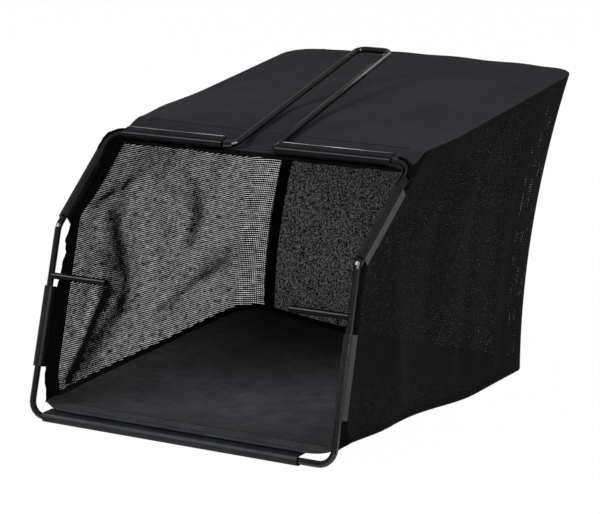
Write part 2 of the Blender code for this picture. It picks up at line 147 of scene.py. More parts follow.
# Sewing thread. The last three give a stitch's rings: places as shares of its length, and lift
# and thickness in thread radii.
thread_radius = 0.00028
stitch_pitch = 0.0042
stitch_length = 0.0030
floor_stitch_inset = 0.0024
floor_front_stitches = 0.0105
top_stitch_inset = 0.0028
top_front_stitches = 0.0098
hem_stitches_reach = 0.138
seam_stitch_lift = 0.0003
stitch_rings = np.array([0.0, 0.12, 0.5, 0.88, 1.0])
stitch_lift = np.array([-0.6, 0.4, 1.0, 0.4, -0.6])
stitch_swell = np.array([0.5, 1.0, 1.1, 1.0, 0.5])

# Side nets: rows of thick yarn and the threads across them. row_drop, net_margin and slope_step
# are shares of the net's height. shortest_row, arc_share and the places to widen are of its run.
row_pitch = 0.0020
row_drop = 0.12
row_steps = 85
shortest_row = 0.02
mesh_pitch = 0.0019
mesh_levels = 48
mesh_thick = 0.00022
net_height = 0.25
net_length = 0.305
net_margin = 0.005
slope_step = 0.004
arc_share = 0.15
rows_widen_at = 0.8
threads_widen_at = 0.6
yarn_unevenness = 0.10
closed_row_wide = 0.00108
closed_mesh_wide = 0.00105

# The back net's knit
knit_rows = 190
knit_columns = 177
knit_thick = 0.0005
knob_thick = 0.0011
back_net_width = 0.262
back_net_height = 0.29

# The rod's top corners, and the cloth gathered round them
rod_bend_radius = 0.013
rod_bend_steps = 17
rod_arm_steps = 8
gather_radius = 0.0037
gather_crease = 0.0006

# Rolled edges of the top clips: behind and above the top bar's middle, and their ends along it
bead_radius = 0.0007
bead_end_share = 0.35
bead_behind_bar = 0.0066
bead_above_bar = 0.0059
bead_wave = 0.00015
bead_ends = {"left": (-0.1425, -0.0355), "right": (0.0205, 0.136)}

LEFT, RIGHT = -1, 1
SIDES = ((LEFT, "left"), (RIGHT, "right"))


def lerp(a, b, t):
    """The value a share t of the way from a to b."""
    return a + (b - a) * t


def ease(t):
    """A smooth step from 0 to 1."""
    t = np.clip(t, 0.0, 1.0)
    return t * t * (3 - 2 * t)


# The bag's surfaces. v runs up a wall from 0 at the floor to 1 at the top seam.


def frame_lean(height):
    """Depth and slope of the posts at a height above the bottom bar."""
    x = (height - kink_height) / kink_softness
    soft = kink_softness * np.logaddexp(0.0, x)
    rise = 1 / (1 + np.exp(-np.clip(x, -60, 60)))
    extra = upper_slope - lower_slope
    return lower_slope * height + extra * soft, lower_slope + extra * rise


def frame_half_width(height):
    """Half the distance between the posts' centres at this height."""
    low = lerp(frame_width_bottom, frame_width_kink, height / kink_height) / 2
    share = (height - kink_height) / (top_bar_height - kink_height)
    high = lerp(frame_width_kink, frame_width_top, share) / 2
    return np.where(height < kink_height, low, high)


def front_edge(v):
    """Depth and height of a wall's front edge, and its stretch along the slope."""
    height = lerp(front_low, front_high, v)
    lean, slope = frame_lean(height)
    stretch = np.sqrt(1 + slope * slope)
    reach = (height - front_low) / corner_cut_reach
    setback = cloth_setback + corner_cut * np.exp(-reach * reach)
    return lean + setback * stretch, bar_height + height, stretch


def back_edge(v):
    """Half width, depth and height of the back at this level."""
    half = lerp(bag_width_bottom_back, bag_width_top_back, v) / 2
    depth = lerp(bag_depth_bottom, bag_depth_top, np.power(v, back_lean_power))
    return half, depth, lerp(floor_rest, bag_height_back, v)


def off_the_frame(away, end=flare_end):
    """0 where the clips hold the cloth, and 1 from the end of its flare."""
    held = clip_flange_depth - cloth_setback + flange_margin
    return ease((away - held) / (end - held))


def floor_height(y):
    """Height of the floor cloth in the middle, at this depth."""
    drop = bar_height + cloth_inset - floor_rest
    return floor_rest + drop * (1 - ease((y - flange_line) / (settled_at - flange_line)))


def side_lift(y, side):
    """How far the floor's edge is lifted on one side, at this depth."""
    grown = ease((y - cloth_setback) / settled_at)
    lift = lerp(floor_corner_lift, floor_side_lift, grown)
    if side < 0:
        back = ease((y - 2 * flare_end) / (bag_depth_bottom - 2 * flare_end))
        return lerp(lift, floor_back_lift, back)
    return lift * (1 - ease((y - right_lift_fades) / (right_lift_ends - right_lift_fades)))


def floor_lift(y, share):
    """How far the floor is lifted at a share of its width, from left to right."""
    reach = lerp(corner_hold, lift_reach, ease((y - flange_line) / settled_at))
    left = np.maximum(0.0, 1 - share / reach) ** 2
    right = np.maximum(0.0, 1 - (1 - share) / reach) ** 2
    return left * side_lift(y, LEFT) + right * side_lift(y, RIGHT)


def top_seam_height(y, side):
    """Height of the seam along one side of the top."""
    share = (y - top_bar_depth) / (bag_depth_top - top_bar_depth)
    line = lerp(bar_height + top_bar_height, bag_height_back, share)
    away = y - top_bar_depth
    low = cloth_inset * (1 - off_the_frame(away - cloth_setback))
    lift = top_corner_lift * ease(away / corner_lift_grows) if side < 0 else 0.0
    return line - low + lift * (1 - ease((away - flare_end) / (4 * flare_end)))


def seam_depth(v, kind, value):
    """Depth of a station at this level. A station is a kind and its value from 0 to 1."""
    y_front, _, stretch = front_edge(v)
    _, y_back, _ = back_edge(v)
    y_band = y_front + front_band_width * stretch
    if kind == "band":
        return y_front + value * front_band_width * stretch
    if kind == "run":
        return lerp(y_band + seam_gap * stretch, y_back - back_corner_radius, value)
    if kind == "arc":
        return y_back - back_corner_radius * (1 - np.sin(value * math.pi / 2))
    return y_back + 0 * value


def wall_height(side, kind, value, v):
    """Height of a station at this level, between the floor's edge and the top seam."""
    y_front, z_front, _ = front_edge(v)
    _, y_back, z_back = back_edge(v)
    share = (seam_depth(v, kind, value) - y_front) / (y_back - y_front)
    y_low = seam_depth(0.0, kind, value)
    y_high = seam_depth(1.0, kind, value)
    across = value / 2 if kind == "back" else 0.0
    low = floor_height(y_low) - cloth / 2 + floor_lift(y_low, across if side < 0 else 1 - across)
    high = top_seam_height(y_high, side) + cloth / 2
    z = lerp(z_front, z_back, share)
    z = z + (1 - v) * (low - lerp(front_edge(0.0)[1], back_edge(0.0)[2], share))
    return z + v * (high - lerp(front_edge(1.0)[1], back_edge(1.0)[2], share))


def wall_point(side, kind, value, v, inset=0.0):
    """Points on the side or back wall, as an array with the last axis x, y, z."""
    value, v = np.broadcast_arrays(np.asarray(value, float), np.asarray(v, float))
    half, y_back, _ = back_edge(v)
    z = wall_height(side, kind, value, v)
    y = seam_depth(v, kind, value)
    if kind in ("band", "run"):
        y_front, z_front, stretch = front_edge(v)
        lean, slope = frame_lean(z_front - bar_height)
        foot = z_front - bar_height + ((y - lean) * slope + z - z_front) / stretch**2
        behind = (y - lean - (z - z_front) * slope) / stretch
        post = frame_half_width(np.minimum(foot, top_bar_height))
        share = (y - y_front) / (y_back - back_corner_radius - y_front)
        near_seam = ease((v - seam_flare_level) / (1 - seam_flare_level))
        free = off_the_frame(behind - cloth_setback, lerp(wall_flare_end, seam_flare_end, near_seam))
        x = lerp(post, half, share * free) - cloth_inset * (1 - free)
        x = x + free * side_bulge * np.sin(math.pi * v) * np.sin(math.pi * share)
        x = x + free * side_folds(side, v, share) - inset
    elif kind == "arc":
        angle = value * math.pi / 2
        radius = back_corner_radius - inset
        x = half - back_corner_radius + radius * np.cos(angle)
        y = y_back - back_corner_radius + radius * np.sin(angle)
    else:
        x = lerp(half - back_corner_radius, 0.0, value)
        across = 1 - value if side > 0 else value - 1
        y = y_back + back_bulge * np.sin(math.pi * v) * np.sin(math.pi * (1 + across) / 2)
        y = y + back_folds(side * x, v) * np.minimum(1.0, value / back_fold_fade) - inset
    return np.stack([side * x, y, z], axis=-1)


def wall_strip(side, kinds, v, inset=0.0):
    """Points along the wall through several kinds of station: [(kind, values), ...]."""
    parts = [wall_point(side, kind, values[None, :], v[:, None], inset) for kind, values in kinds]
    return np.concatenate(parts, axis=1)


def crease(share, v, line, width, depth):
    """A soft ridge along a line of (v, share) points on a side net. It fades at both ends."""
    levels, shares = zip(*line)
    centre = np.interp(v, levels, shares)
    start = ease((v - levels[0] + crease_overrun) / crease_fade)
    end = ease((levels[-1] + crease_overrun - v) / crease_fade)
    return depth * (start * end) * np.exp(-(((share - centre) / width) ** 2))


# Creases of the side nets: line, width, depth (negative is inwards) and how far each closes the gaps
# The closing makes a darker, denser net, partly a fold's gathering and partly painted shade: lines of
# depth 0 close the gaps with no fold.
left_creases = [
    ([(0.24, 0.34), (0.34, 0.35), (0.47, 0.29), (0.64, 0.21)], 0.046, -0.0038, 0.56),
    ([(0.315, 0.245), (0.405, 0.25), (0.495, 0.20)], 0.040, 0.0, 0.34),
    ([(0.30, 0.50), (0.60, 0.42)], 0.050, 0.0024, 0.0),
    ([(0.05, 0.065), (0.19, 0.18), (0.31, 0.255)], 0.036, -0.0030, 0.72),
    ([(0.07, 0.16), (0.22, 0.32)], 0.085, 0.0, 0.50),
    ([(0.375, 0.725), (0.455, 0.755), (0.56, 0.71)], 0.048, -0.0032, 0.46),
    ([(0.60, 0.66), (0.80, 0.60)], 0.060, 0.0, 0.20),
    ([(0.165, 0.625), (0.195, 0.805), (0.24, 0.93)], 0.130, -0.0022, 0.45),
    ([(0.58, 0.83), (0.80, 0.80)], 0.030, 0.0012, 0.18),
    ([(0.62, 0.28), (0.86, 0.25)], 0.030, -0.0012, 0.24),
    ([(0.70, 0.47), (0.84, 0.45)], 0.024, 0.0, 0.22),
]
right_creases = [
    ([(0.30, 0.41), (0.85, 0.36)], 0.050, -0.0034, 0.2),
    ([(0.08, 0.30), (0.75, 0.14)], 0.040, 0.0028, 0.0),
    ([(0.12, 0.64), (0.80, 0.57)], 0.040, -0.0028, 0.2),
    ([(0.08, 0.84), (0.70, 0.80)], 0.035, 0.0022, 0.0),
    ([(0.05, 0.10), (0.35, 0.22)], 0.030, -0.0020, 0.0),
    ([(0.70, 0.45), (0.95, 0.62)], 0.030, 0.0016, 0.0),
]


def side_folds(side, v, share):
    """Soft folds of a side net, and the sharper creases that the photograph shows."""
    edges = np.sqrt(np.sin(math.pi * np.clip(v, 0, 1))) 
    edges = edges * ease(share / fold_edge) * ease((1 - share) / fold_edge)
    lean = fold_lean * (v - 0.5)
    folds = edges * side_fold_depth * np.sin(2 * math.pi * side_fold_count * (share + lean) + side)
    hold = ease(v / seam_hold) * ease((1 - v) / seam_hold)
    for line, width, depth, _ in left_creases if side < 0 else right_creases:
        folds = folds + hold * crease(share, v, line, width, depth)
    return folds


def fold_and_shade_closing(side, v, share):
    """How far the net's gaps close along the creases, from 0 to 1: partly a fold's gathering, partly
    painted shade.
    """
    closed = 0 * v * share
    for line, width, _, amount in left_creases if side < 0 else right_creases:
        closed = closed + crease(share, v, line, width, amount)
    return np.clip(closed, 0, 1)


def back_folds(x, v):
    """Soft folds of the back net."""
    edges = np.sqrt(np.sin(math.pi * np.clip(v, 0, 1)))
    across = x / back_fold_span + 0.5 + fold_lean * (v - 0.5)
    return edges * back_fold_depth * np.sin(2 * math.pi * back_fold_count * across + 0.6)


# Meshes


def unit(a):
    """Vectors at length 1."""
    return a / np.maximum(np.linalg.norm(a, axis=-1, keepdims=True), 1e-12)


def grid_normals(points):
    """Directions square to a grid of points."""
    along = np.gradient(points, axis=1)
    up = np.gradient(points, axis=0)
    return unit(np.cross(along, up))


def sheet_area(points):
    """Area of a grid of points, from two triangles a cell."""
    a, b, c, d = points[:-1, :-1], points[:-1, 1:], points[1:, 1:], points[1:, :-1]
    first = np.linalg.norm(np.cross(b - a, c - a), axis=2)
    second = np.linalg.norm(np.cross(c - a, d - a), axis=2)
    return float((first + second).sum() / 2)


def grid_map(across, up):
    """Texture coordinates of a sheet, in metres, from its columns and rows."""
    return np.stack(np.broadcast_arrays(across[None, :], up[:, None]), axis=-1)


def new_object(name, verts, faces, material, uv=None, angle=40):
    """A smooth mesh object, with sharp edges above an angle and uv given by vertex."""
    mesh = bpy.data.meshes.new(name)
    mesh.from_pydata(verts, [], faces)
    mesh.update()
    if uv is not None:
        layer = mesh.uv_layers.new(name="cloth")
        corner = np.empty(len(mesh.loops), dtype=np.int32)
        mesh.loops.foreach_get("vertex_index", corner)
        layer.data.foreach_set("uv", uv[corner].astype(np.float32).ravel())
    mesh.shade_smooth()
    mesh.set_sharp_from_angle(angle=math.radians(angle))
    obj = bpy.data.objects.new(name, mesh)
    bpy.context.scene.collection.objects.link(obj)
    mesh.materials.append(material)
    return obj


def thick_grid(name, points, thickness, material, uv, angle=40):
    """A closed sheet round a grid of points, with half its thickness on each side of them."""
    shape = points.shape[:2]
    half = np.broadcast_to(np.asarray(thickness, float), shape)[..., None] / 2
    offset = grid_normals(points) * half
    verts = np.concatenate([(points + offset).reshape(-1, 3), (points - offset).reshape(-1, 3)])
    index = np.arange(shape[0] * shape[1]).reshape(shape)
    shift = index.size
    a, b, c, d = index[:-1, :-1], index[:-1, 1:], index[1:, 1:], index[1:, :-1]
    faces = [np.stack([a, b, c, d], -1), np.stack([a, d, c, b], -1) + shift]
    for start, end in (
        (index[:-1, 0], index[1:, 0]),
        (index[1:, -1], index[:-1, -1]),
        (index[0, 1:], index[0, :-1]),
        (index[-1, :-1], index[-1, 1:]),
    ):
        faces.append(np.stack([start, end, end + shift, start + shift], -1))
    faces = np.concatenate([part.reshape(-1, 4) for part in faces])
    flat = uv.reshape(-1, 2)
    return new_object(
        name, verts.tolist(), faces.tolist(), material, np.concatenate([flat, flat]), angle
    )


def strands(centres, across, normals, wide, thick, sides=4):
    """Corners and faces of strands. Each row of centres is one strand with a rounded section."""
    count, steps = centres.shape[:2]
    wide = np.broadcast_to(wide, (count, steps))[..., None]
    thick = np.broadcast_to(thick, (count, steps))[..., None]
    turns = 2 * math.pi * np.arange(sides) / sides
    ring = [centres + across * wide * math.cos(a) + normals * thick * math.sin(a) for a in turns]
    verts = np.stack(ring, axis=2).reshape(-1, 3)
    index = np.arange(len(verts)).reshape(count, steps, sides)
    turned = np.roll(index, -1, axis=2)
    faces = np.stack([index[:, :-1], turned[:, :-1], turned[:, 1:], index[:, 1:]], -1)
    ends = np.concatenate([index[:, 0, ::-1], index[:, -1]])
    return verts.tolist(), faces.reshape(-1, 4).tolist() + ends.tolist()


# Materials


class Shader:
    """A Principled material with helpers for its nodes."""

    def __init__(self, name, colour, roughness, shine=0.5):
        self.material = bpy.data.materials.new(name)
        self.material.use_nodes = True
        self.nodes = self.material.node_tree.nodes
        self.links = self.material.node_tree.links
        self.main = self.nodes["Principled BSDF"]
        self.main.inputs["Base Color"].default_value = (*colour, 1.0)
        self.main.inputs["Roughness"].default_value = roughness
        self.main.inputs["Specular IOR Level"].default_value = shine
        self.material.diffuse_color = (*colour, 1.0)

    def add(self, kind, **values):
        node = self.nodes.new(kind)
        for key, value in values.items():
            if key in node.inputs:
                node.inputs[key].default_value = value
            else:
                setattr(node, key, value)
        return node

    def join(self, source, output, target, socket):
        self.links.new(source.outputs[output], target.inputs[socket])

    def coordinates(self, scale=(1, 1, 1)):
        place = self.add("ShaderNodeTexCoord")
        mapping = self.add("ShaderNodeMapping")
        mapping.inputs["Scale"].default_value = scale
        self.join(place, "Object", mapping, "Vector")
        return mapping

    def noise(self, scale, detail=3.0, rough=0.5, where=None):
        node = self.add("ShaderNodeTexNoise", Scale=scale, Detail=detail, Roughness=rough)
        self.join(where or self.coordinates(), "Vector", node, "Vector")
        return node

    def maths(self, operation, first, second):
        node = self.add("ShaderNodeMath", operation=operation)
        for k, value in enumerate((first, second)):
            if isinstance(value, tuple):
                self.links.new(value[0].outputs[value[1]], node.inputs[k])
            else:
                node.inputs[k].default_value = value
        return node

    def ramp(self, source, output, stops):
        node = self.add("ShaderNodeValToRGB")
        elements = node.color_ramp.elements
        while len(elements) < len(stops):
            elements.new(0.5)
        for element, (position, colour) in zip(elements, stops):
            element.position = position
            element.color = (*colour, 1.0)
        self.join(source, output, node, "Fac")
        return node

    def bumped(self, source, output, strength, distance, before=None):
        node = self.add("ShaderNodeBump", Strength=strength, Distance=distance)
        self.join(source, output, node, "Height")
        if before is not None:
            self.join(before, "Normal", node, "Normal")
        self.join(node, "Normal", self.main, "Normal")
        return node


def enamel(name="black_enamel", shine=0.8, smooth=0.04, dull=0.10):
    """Gloss black enamel on steel: nearly smooth, with faint orange peel and duller rubbed spots."""
    s = Shader(name, (0.0018, 0.0018, 0.0021), 0.08, shine)
    peel = s.noise(900, 2.0)
    first = s.bumped(peel, "Fac", 0.04, 0.0001)
    rub = s.noise(55, 4.0)
    rough = s.ramp(rub, "Fac", [(0.35, (smooth,) * 3), (0.75, (dull,) * 3)])
    s.join(rough, "Color", s.main, "Roughness")
    lumps = s.noise(160, 2.0)
    s.bumped(lumps, "Fac", 0.05, 0.0004, before=first)
    return s.material


def profile_plastic(name, colour, light, rough, shine):
    """Extruded dark plastic: half gloss, uneven, a little blue, with dull streaks."""
    s = Shader(name, colour, rough[0], shine)
    streaks = s.noise(140, 4.0, where=s.coordinates(scale=(0.25, 1.0, 1.0)))
    dull = s.ramp(streaks, "Fac", [(0.3, (rough[0],) * 3), (0.8, (rough[1],) * 3)])
    s.join(dull, "Color", s.main, "Roughness")
    tone = s.ramp(s.noise(60, 3.0), "Fac", [(0.3, colour), (0.8, light)])
    s.join(tone, "Color", s.main, "Base Color")
    s.bumped(streaks, "Fac", 0.10, 0.0003)
    return s.material


def woven(name, colour, light, thread=0.00085, sheen=0.03, mottling=0.5, shine=0.12, painted_shade=None):
    """Plain woven cloth: over and under threads, soft sheen and a little mottling.

    The last argument is a list of (depth, share): painted light and shade, how much of its colour the
    cloth shows at each depth.
    """
    s = Shader(name, colour, 0.88, shine)
    s.main.inputs["Sheen Weight"].default_value = sheen
    s.main.inputs["Sheen Roughness"].default_value = 0.45
    place = s.add("ShaderNodeUVMap")
    place.uv_map = "cloth"
    split = s.add("ShaderNodeSeparateXYZ")
    s.join(place, "UV", split, "Vector")
    turn = 2 * math.pi / thread
    warp = s.maths("SINE", (s.maths("MULTIPLY", (split, "X"), turn), "Value"), 0.0)
    weft = s.maths("SINE", (s.maths("MULTIPLY", (split, "Y"), turn), "Value"), 0.0)
    weave = s.maths("MULTIPLY", (warp, "Value"), (weft, "Value"))
    height = s.maths("MULTIPLY_ADD", (weave, "Value"), 0.5)
    height.inputs[2].default_value = 0.5
    first = s.bumped(height, "Value", 0.5, 0.0003)
    slub = s.noise(420, 3.0)
    second = s.bumped(slub, "Fac", 0.35, 0.0005, before=first)
    soft = s.noise(38, 3.0, 0.6)
    s.bumped(soft, "Fac", 0.55, 0.0022, before=second)
    mottle = s.noise(70, 5.0, 0.65)
    tone = s.ramp(mottle, "Fac", [(0.5 - mottling / 2, colour), (0.5 + mottling / 2, light)])
    if painted_shade is None:
        s.join(tone, "Color", s.main, "Base Color")
        return s.material
    # Painted light and shade: a ramp over the depth along the cloth scales its colour. The clouds are
    # random tone.
    level = s.ramp(split, "Y", [(depth, (share,) * 3) for depth, share in painted_shade])
    clouds = s.ramp(s.noise(13, 4.0, 0.6), "Fac", [(0.36, (0.70,) * 3), (0.66, (1.0,) * 3)])
    uneven = s.add("ShaderNodeVectorMath", operation="MULTIPLY")
    s.join(tone, "Color", uneven, 0)
    s.join(clouds, "Color", uneven, 1)
    darker = s.add("ShaderNodeVectorMath", operation="MULTIPLY")
    s.join(uneven, "Vector", darker, 0)
    s.join(level, "Color", darker, 1)
    s.join(darker, "Vector", s.main, "Base Color")
    return s.material


def yarn(name, colour, light, roughness=0.75, scale=900, stops=(0.35, 0.7)):
    """Net and thread: yarn whose colour varies along its twist."""
    s = Shader(name, colour, roughness, 0.10)
    s.main.inputs["Sheen Weight"].default_value = 0.015
    twist = s.noise(scale, 3.0)
    tone = s.ramp(twist, "Fac", [(stops[0], colour), (stops[1], light)])
    s.join(tone, "Color", s.main, "Base Color")
    s.bumped(twist, "Fac", 0.5, 0.0004)
    return s.material


# Pieces


def dress(obj, slot, *nodes):
    """Puts a piece on the frame and hides the CAD nodes it replaces. slot is not used."""
    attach(obj, "root")
    if nodes:
        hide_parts(*nodes)


def net_point(side, s, v):
    """Points on a side net. s runs from 0 at the band to 1 where the corner starts, then round it."""
    run = wall_point(side, "run", np.minimum(s, 1.0), v)
    arc = wall_point(side, "arc", np.clip((s - 1) / arc_share, 0, 1), v)
    return np.where((s <= 1)[..., None], run, arc)


def net_rows(side, rng, wide, thick, arc_wide):
    """Slanting rows of thick yarn, which come down from the band to the back corner."""
    middles = np.arange(-row_drop, 1 + row_drop, row_pitch / net_height)
    first = np.clip(0.5 + (middles - 1) / row_drop, 0, 1 + arc_share)
    last = np.clip(0.5 + middles / row_drop, 0, 1 + arc_share)
    long = last - first > shortest_row
    s = lerp(first[long, None], last[long, None], np.linspace(0, 1, row_steps)[None, :])
    v = np.clip(middles[long, None] - row_drop * (s - 0.5), net_margin, 1 - net_margin)
    centres = net_point(side, s, v)
    along = unit(np.gradient(centres, axis=1))
    above = net_point(side, s, np.minimum(v + slope_step, 1))
    below = net_point(side, s, np.maximum(v - slope_step, 0))
    normals = unit(np.cross(along, above - below))
    uneven = 1 + yarn_unevenness * rng.standard_normal(centres.shape[:2])
    wide = lerp(wide, np.maximum(wide, arc_wide), ease((s - rows_widen_at) / (1 - rows_widen_at)))
    wide = lerp(wide * uneven, closed_row_wide, fold_and_shade_closing(side, v, s))
    return strands(centres, np.cross(normals, along), normals, wide, thick)


def net_threads(side, rng, wide, arc_wide):
    """Thin threads that cross the rows, and the area of the net that they span."""
    run = np.linspace(0.0, 1.0, round(net_length / mesh_pitch))
    arc = np.linspace(0.0, 1.0, round(back_corner_radius * math.pi / 2 / mesh_pitch))[1:]
    levels = np.linspace(0.0, 1.0, mesh_levels)
    points = wall_strip(side, [("run", run), ("arc", arc)], levels)
    normals, across = grid_normals(points), unit(np.gradient(points, axis=1))
    widened = ease((run - threads_widen_at) / (1 - threads_widen_at))
    wide = np.concatenate([lerp(wide, arc_wide, widened), arc_wide + 0 * arc])
    wide = wide[None, :] * (1 + yarn_unevenness * rng.standard_normal(points.shape[:2]))
    stations = np.concatenate([run, 1 + arc_share * arc])[None, :]
    wide = lerp(wide, closed_mesh_wide, fold_and_shade_closing(side, levels[:, None], stations))
    upright = [grid.swapaxes(0, 1) for grid in (points, across, normals, wide)]
    return *strands(*upright, mesh_thick), sheet_area(points)


def make_net(side, word, material, row_wide, row_thick, thread_wide, arc_wide):
    """A side net: rows of thick yarn crossed by thin threads, with real gaps between them."""
    rng = np.random.default_rng(11 + side)
    verts, faces = net_rows(side, rng, row_wide, row_thick, arc_wide)
    more, sides, area = net_threads(side, rng, thread_wide, arc_wide)
    faces += [[corner + len(verts) for corner in face] for face in sides]
    obj = new_object(f"{word}_net", verts + more, faces, material, angle=100)
    dress(obj, "side_net", f"{word}_net_panel")


def make_back(material):
    """The back net: close knobbly knit, without open holes. Its near-white specks are painted light."""
    levels = np.linspace(0, 1, knit_rows)
    across = np.linspace(0, 1, knit_columns)
    left, right = across[across < 0.5], across[across >= 0.5]
    halves = [
        wall_point(LEFT, "back", 2 * left[None, :], levels[:, None]),
        wall_point(RIGHT, "back", 2 * (1 - right[None, :]), levels[:, None]),
    ]
    points = np.concatenate(halves, axis=1)
    rng = np.random.default_rng(7)
    knobs = rng.random((len(levels), len(across)))
    knobs = (knobs + np.roll(knobs, 1, axis=1)) / 2
    uv = grid_map(across * back_net_width, levels * back_net_height)
    thickness = knit_thick + knob_thick * knobs
    obj = thick_grid("back_net", points[:, ::-1], thickness, material, uv, angle=50)
    dress(obj, "back_net", "back_panel")


def band_recede(side, v):
    """How far the band's free edge hangs back, as a share of its width. At the head it reaches out."""
    bare = ease((v - bare_low) / recede_fade) * ease((bare_high - v) / recede_fade)
    foot = ease((foot_high - v) / recede_fade) * ease((v + 0.02) / recede_fade)
    head = ease((v - head_low) / 0.04)
    wave = 0.62 + 0.26 * np.sin(2 * math.pi * (v * 9.5 + 0.3 * side))
    wave = wave + 0.12 * np.sin(2 * math.pi * v * 23)
    return 0.34 * bare * wave + 0.16 * foot * wave - 0.26 * head


def make_band(side, word, material):
    """The hem between the posts and a side net. It hangs back a little where no clip holds it."""
    v = np.linspace(0, 1, 241)
    t = np.linspace(0, band_overlap, 21)
    pull = np.maximum(0.0, 1 - t[None, :]) * band_recede(side, v)[:, None]
    points = wall_point(side, "band", t[None, :] + pull, v[:, None])
    uv = grid_map(t * front_band_width, v * band_length)
    if side < 0:
        points, uv = points[:, ::-1], uv[:, ::-1]
    obj = thick_grid(f"{word}_hem_band", points, band_thick, material, uv)
    dress(obj, "woven_cloth", f"{word}_front_band")


def panel_edges(v):
    """Left edge, right edge and depth along the floor or top seam, from front to back."""
    kinds = [
        ("band", np.linspace(0, 1, 12)),
        ("run", np.linspace(0, 1, 60)[1:]),
        ("arc", np.linspace(0, 1, 12)[1:]),
    ]
    left, right = (wall_strip(side, kinds, np.array([v]))[0] for side in (LEFT, RIGHT))
    return left[:, 0], right[:, 0], right[:, 1]


def across_panel(v, x, y):
    """Share of the way from the left edge of the floor or top to the right one."""
    left, right, depth = panel_edges(v)
    low, high = np.interp(y, depth, left), np.interp(y, depth, right)
    return np.clip((x - low) / (high - low), 0, 1)


def floor_surface(x, y):
    """Height of the floor cloth's middle."""
    ripple = 0.0004 * np.sin(x * 70 + 9 * y) * np.sin(y * 38 + 1.0) * ease((y - 0.04) / 0.05)
    hem = floor_hem_rise * (1 - ease((y - floor_hem_end) / floor_hem_step))
    return floor_height(y) + floor_lift(y, across_panel(0.0, x, y)) + ripple + hem


def second_material(obj, material, limit):
    """Gives the faces in front of this depth a second material."""
    middles = np.empty(3 * len(obj.data.polygons))
    obj.data.polygons.foreach_get("center", middles)
    obj.data.materials.append(material)
    front = middles.reshape(-1, 3)[:, 1] < limit
    obj.data.polygons.foreach_set("material_index", front.astype(np.int32))


def make_floor(material, hem):
    """The floor cloth. Its hem has the second material, and its front corners are cut."""
    left, right, depth = panel_edges(0.0)
    edge = front_edge(0.0)[0]
    extra = floor_hem_end + (edge - cloth_setback) + floor_hem_step * np.array([-1, 0, 0.5, 1, 2])
    rows = np.unique(np.concatenate([depth, extra]))
    left, right = np.interp(rows, depth, left)[:, None], np.interp(rows, depth, right)[:, None]
    near = np.linspace(0, corner_hold, 6)[:-1]
    share = np.concatenate([near, np.linspace(corner_hold, 1 - corner_hold, 90), (1 - near)[::-1]])
    x = lerp(left, right, share[None, :])
    cut = np.exp(-((np.minimum(x - left, right - x) / corner_cut_reach) ** 2))
    relief = (edge - cloth_setback) * (1 - cut) * (1 - ease((rows[:, None] - edge) / flare_end))
    y = rows[:, None] - relief
    points = np.stack([x, y, floor_surface(x, y)], axis=-1)
    obj = thick_grid("floor_cloth", points, cloth_thick, material, np.stack([x, y], axis=-1))
    second_material(obj, hem, floor_hem_end)
    dress(obj, "woven_cloth", "floor_panel")


def top_surface(x, y):
    """Height of the top cloth's middle."""
    share = across_panel(1.0, x, y)
    away = y - top_bar_depth
    seam = lerp(top_seam_height(y, LEFT), top_seam_height(y, RIGHT), 1 - (1 - share) ** 3)
    grown = ease((away - flange_line) / settled_at)
    fall = 1 - 0.6 * ease((away - 4 * flare_end) / (5 * flare_end))
    arch = 1 - (2 * share - 1) ** 2
    hem = top_hem_rise * (1 - ease((away - top_hem_width) / top_hem_step))
    hem = hem * ease((away - 0.015) / 0.01)
    inside = ease(share / 0.08) * ease((1 - share) / 0.08) * ease((away - 0.03) / 0.04)
    slack = 0.0007 * np.sin(x * 33 + y * 17) * np.sin(y * 27 - x * 9)
    slack = slack + 0.0004 * np.sin(x * 90 - y * 40)
    return seam + top_crown * grown * fall * arch + hem + inside * slack


# The top cloth's wrapped front lip: steps back and up from its front edge, and its share of the sag
lip_profile = [
    (-0.0050, -0.0030, 1.0),
    (-0.0054, -0.0023, 0.9),
    (-0.0050, -0.0015, 0.6),
    (-0.0040, -0.0009, 0.3),
    (-0.0022, -0.0004, 0.1),
]
lip_step = 0.001


def make_top(material, under):
    """The top cloth. Its wrapped front lip has the second material."""
    left, right, depth = panel_edges(1.0)
    extra = top_bar_depth + top_hem_width + top_hem_step * np.array([-0.75, 0, 0.5, 1, 1.75])
    rows = np.unique(np.concatenate([depth, extra]))
    left, right = np.interp(rows, depth, left)[:, None], np.interp(rows, depth, right)[:, None]
    x = lerp(left, right, np.linspace(0, 1, 130)[None, :])
    y = np.broadcast_to(rows[:, None], x.shape)
    points = np.stack([x, y, top_surface(x, y)], axis=-1)
    sag = 0.0004 * np.sin(x[0] * 60) + 0.0003 * np.sin(x[0] * 170 + 1)
    lip = [
        points[0] + np.stack([0 * sag, dy + 0 * sag, dz + share * sag], -1)
        for dy, dz, share in lip_profile
    ]
    points = np.concatenate([np.stack(lip), points])
    flat = np.stack([x, y], axis=-1)
    before = lip_step * np.arange(-len(lip) - 1, -1)
    lip_flat = flat[:1] + np.stack([0 * before, before], axis=-1)[:, None]
    uv = np.concatenate([lip_flat, flat])
    obj = thick_grid("top_cloth", points, cloth_thick, material, uv, angle=60)
    second_material(obj, under, points[len(lip), 0, 1] - 0.0001)
    dress(obj, "woven_cloth", "top_panel")


# The seam bindings' folded section: height off the seam, and step inwards from the wall
binding_fold = [
    (0.0004, 0.0),
    (0.0025, 0.0),
    (0.0044, 0.0),
    (0.0050, 0.0005),
    (0.0044, 0.0010),
    (0.0025, 0.0010),
    (0.0004, 0.0010),
]
binding_inset = cloth / 2 + binding_clearance

# Steps of the bindings' texture along the tape and across it
binding_steps = (0.004, 0.0016)


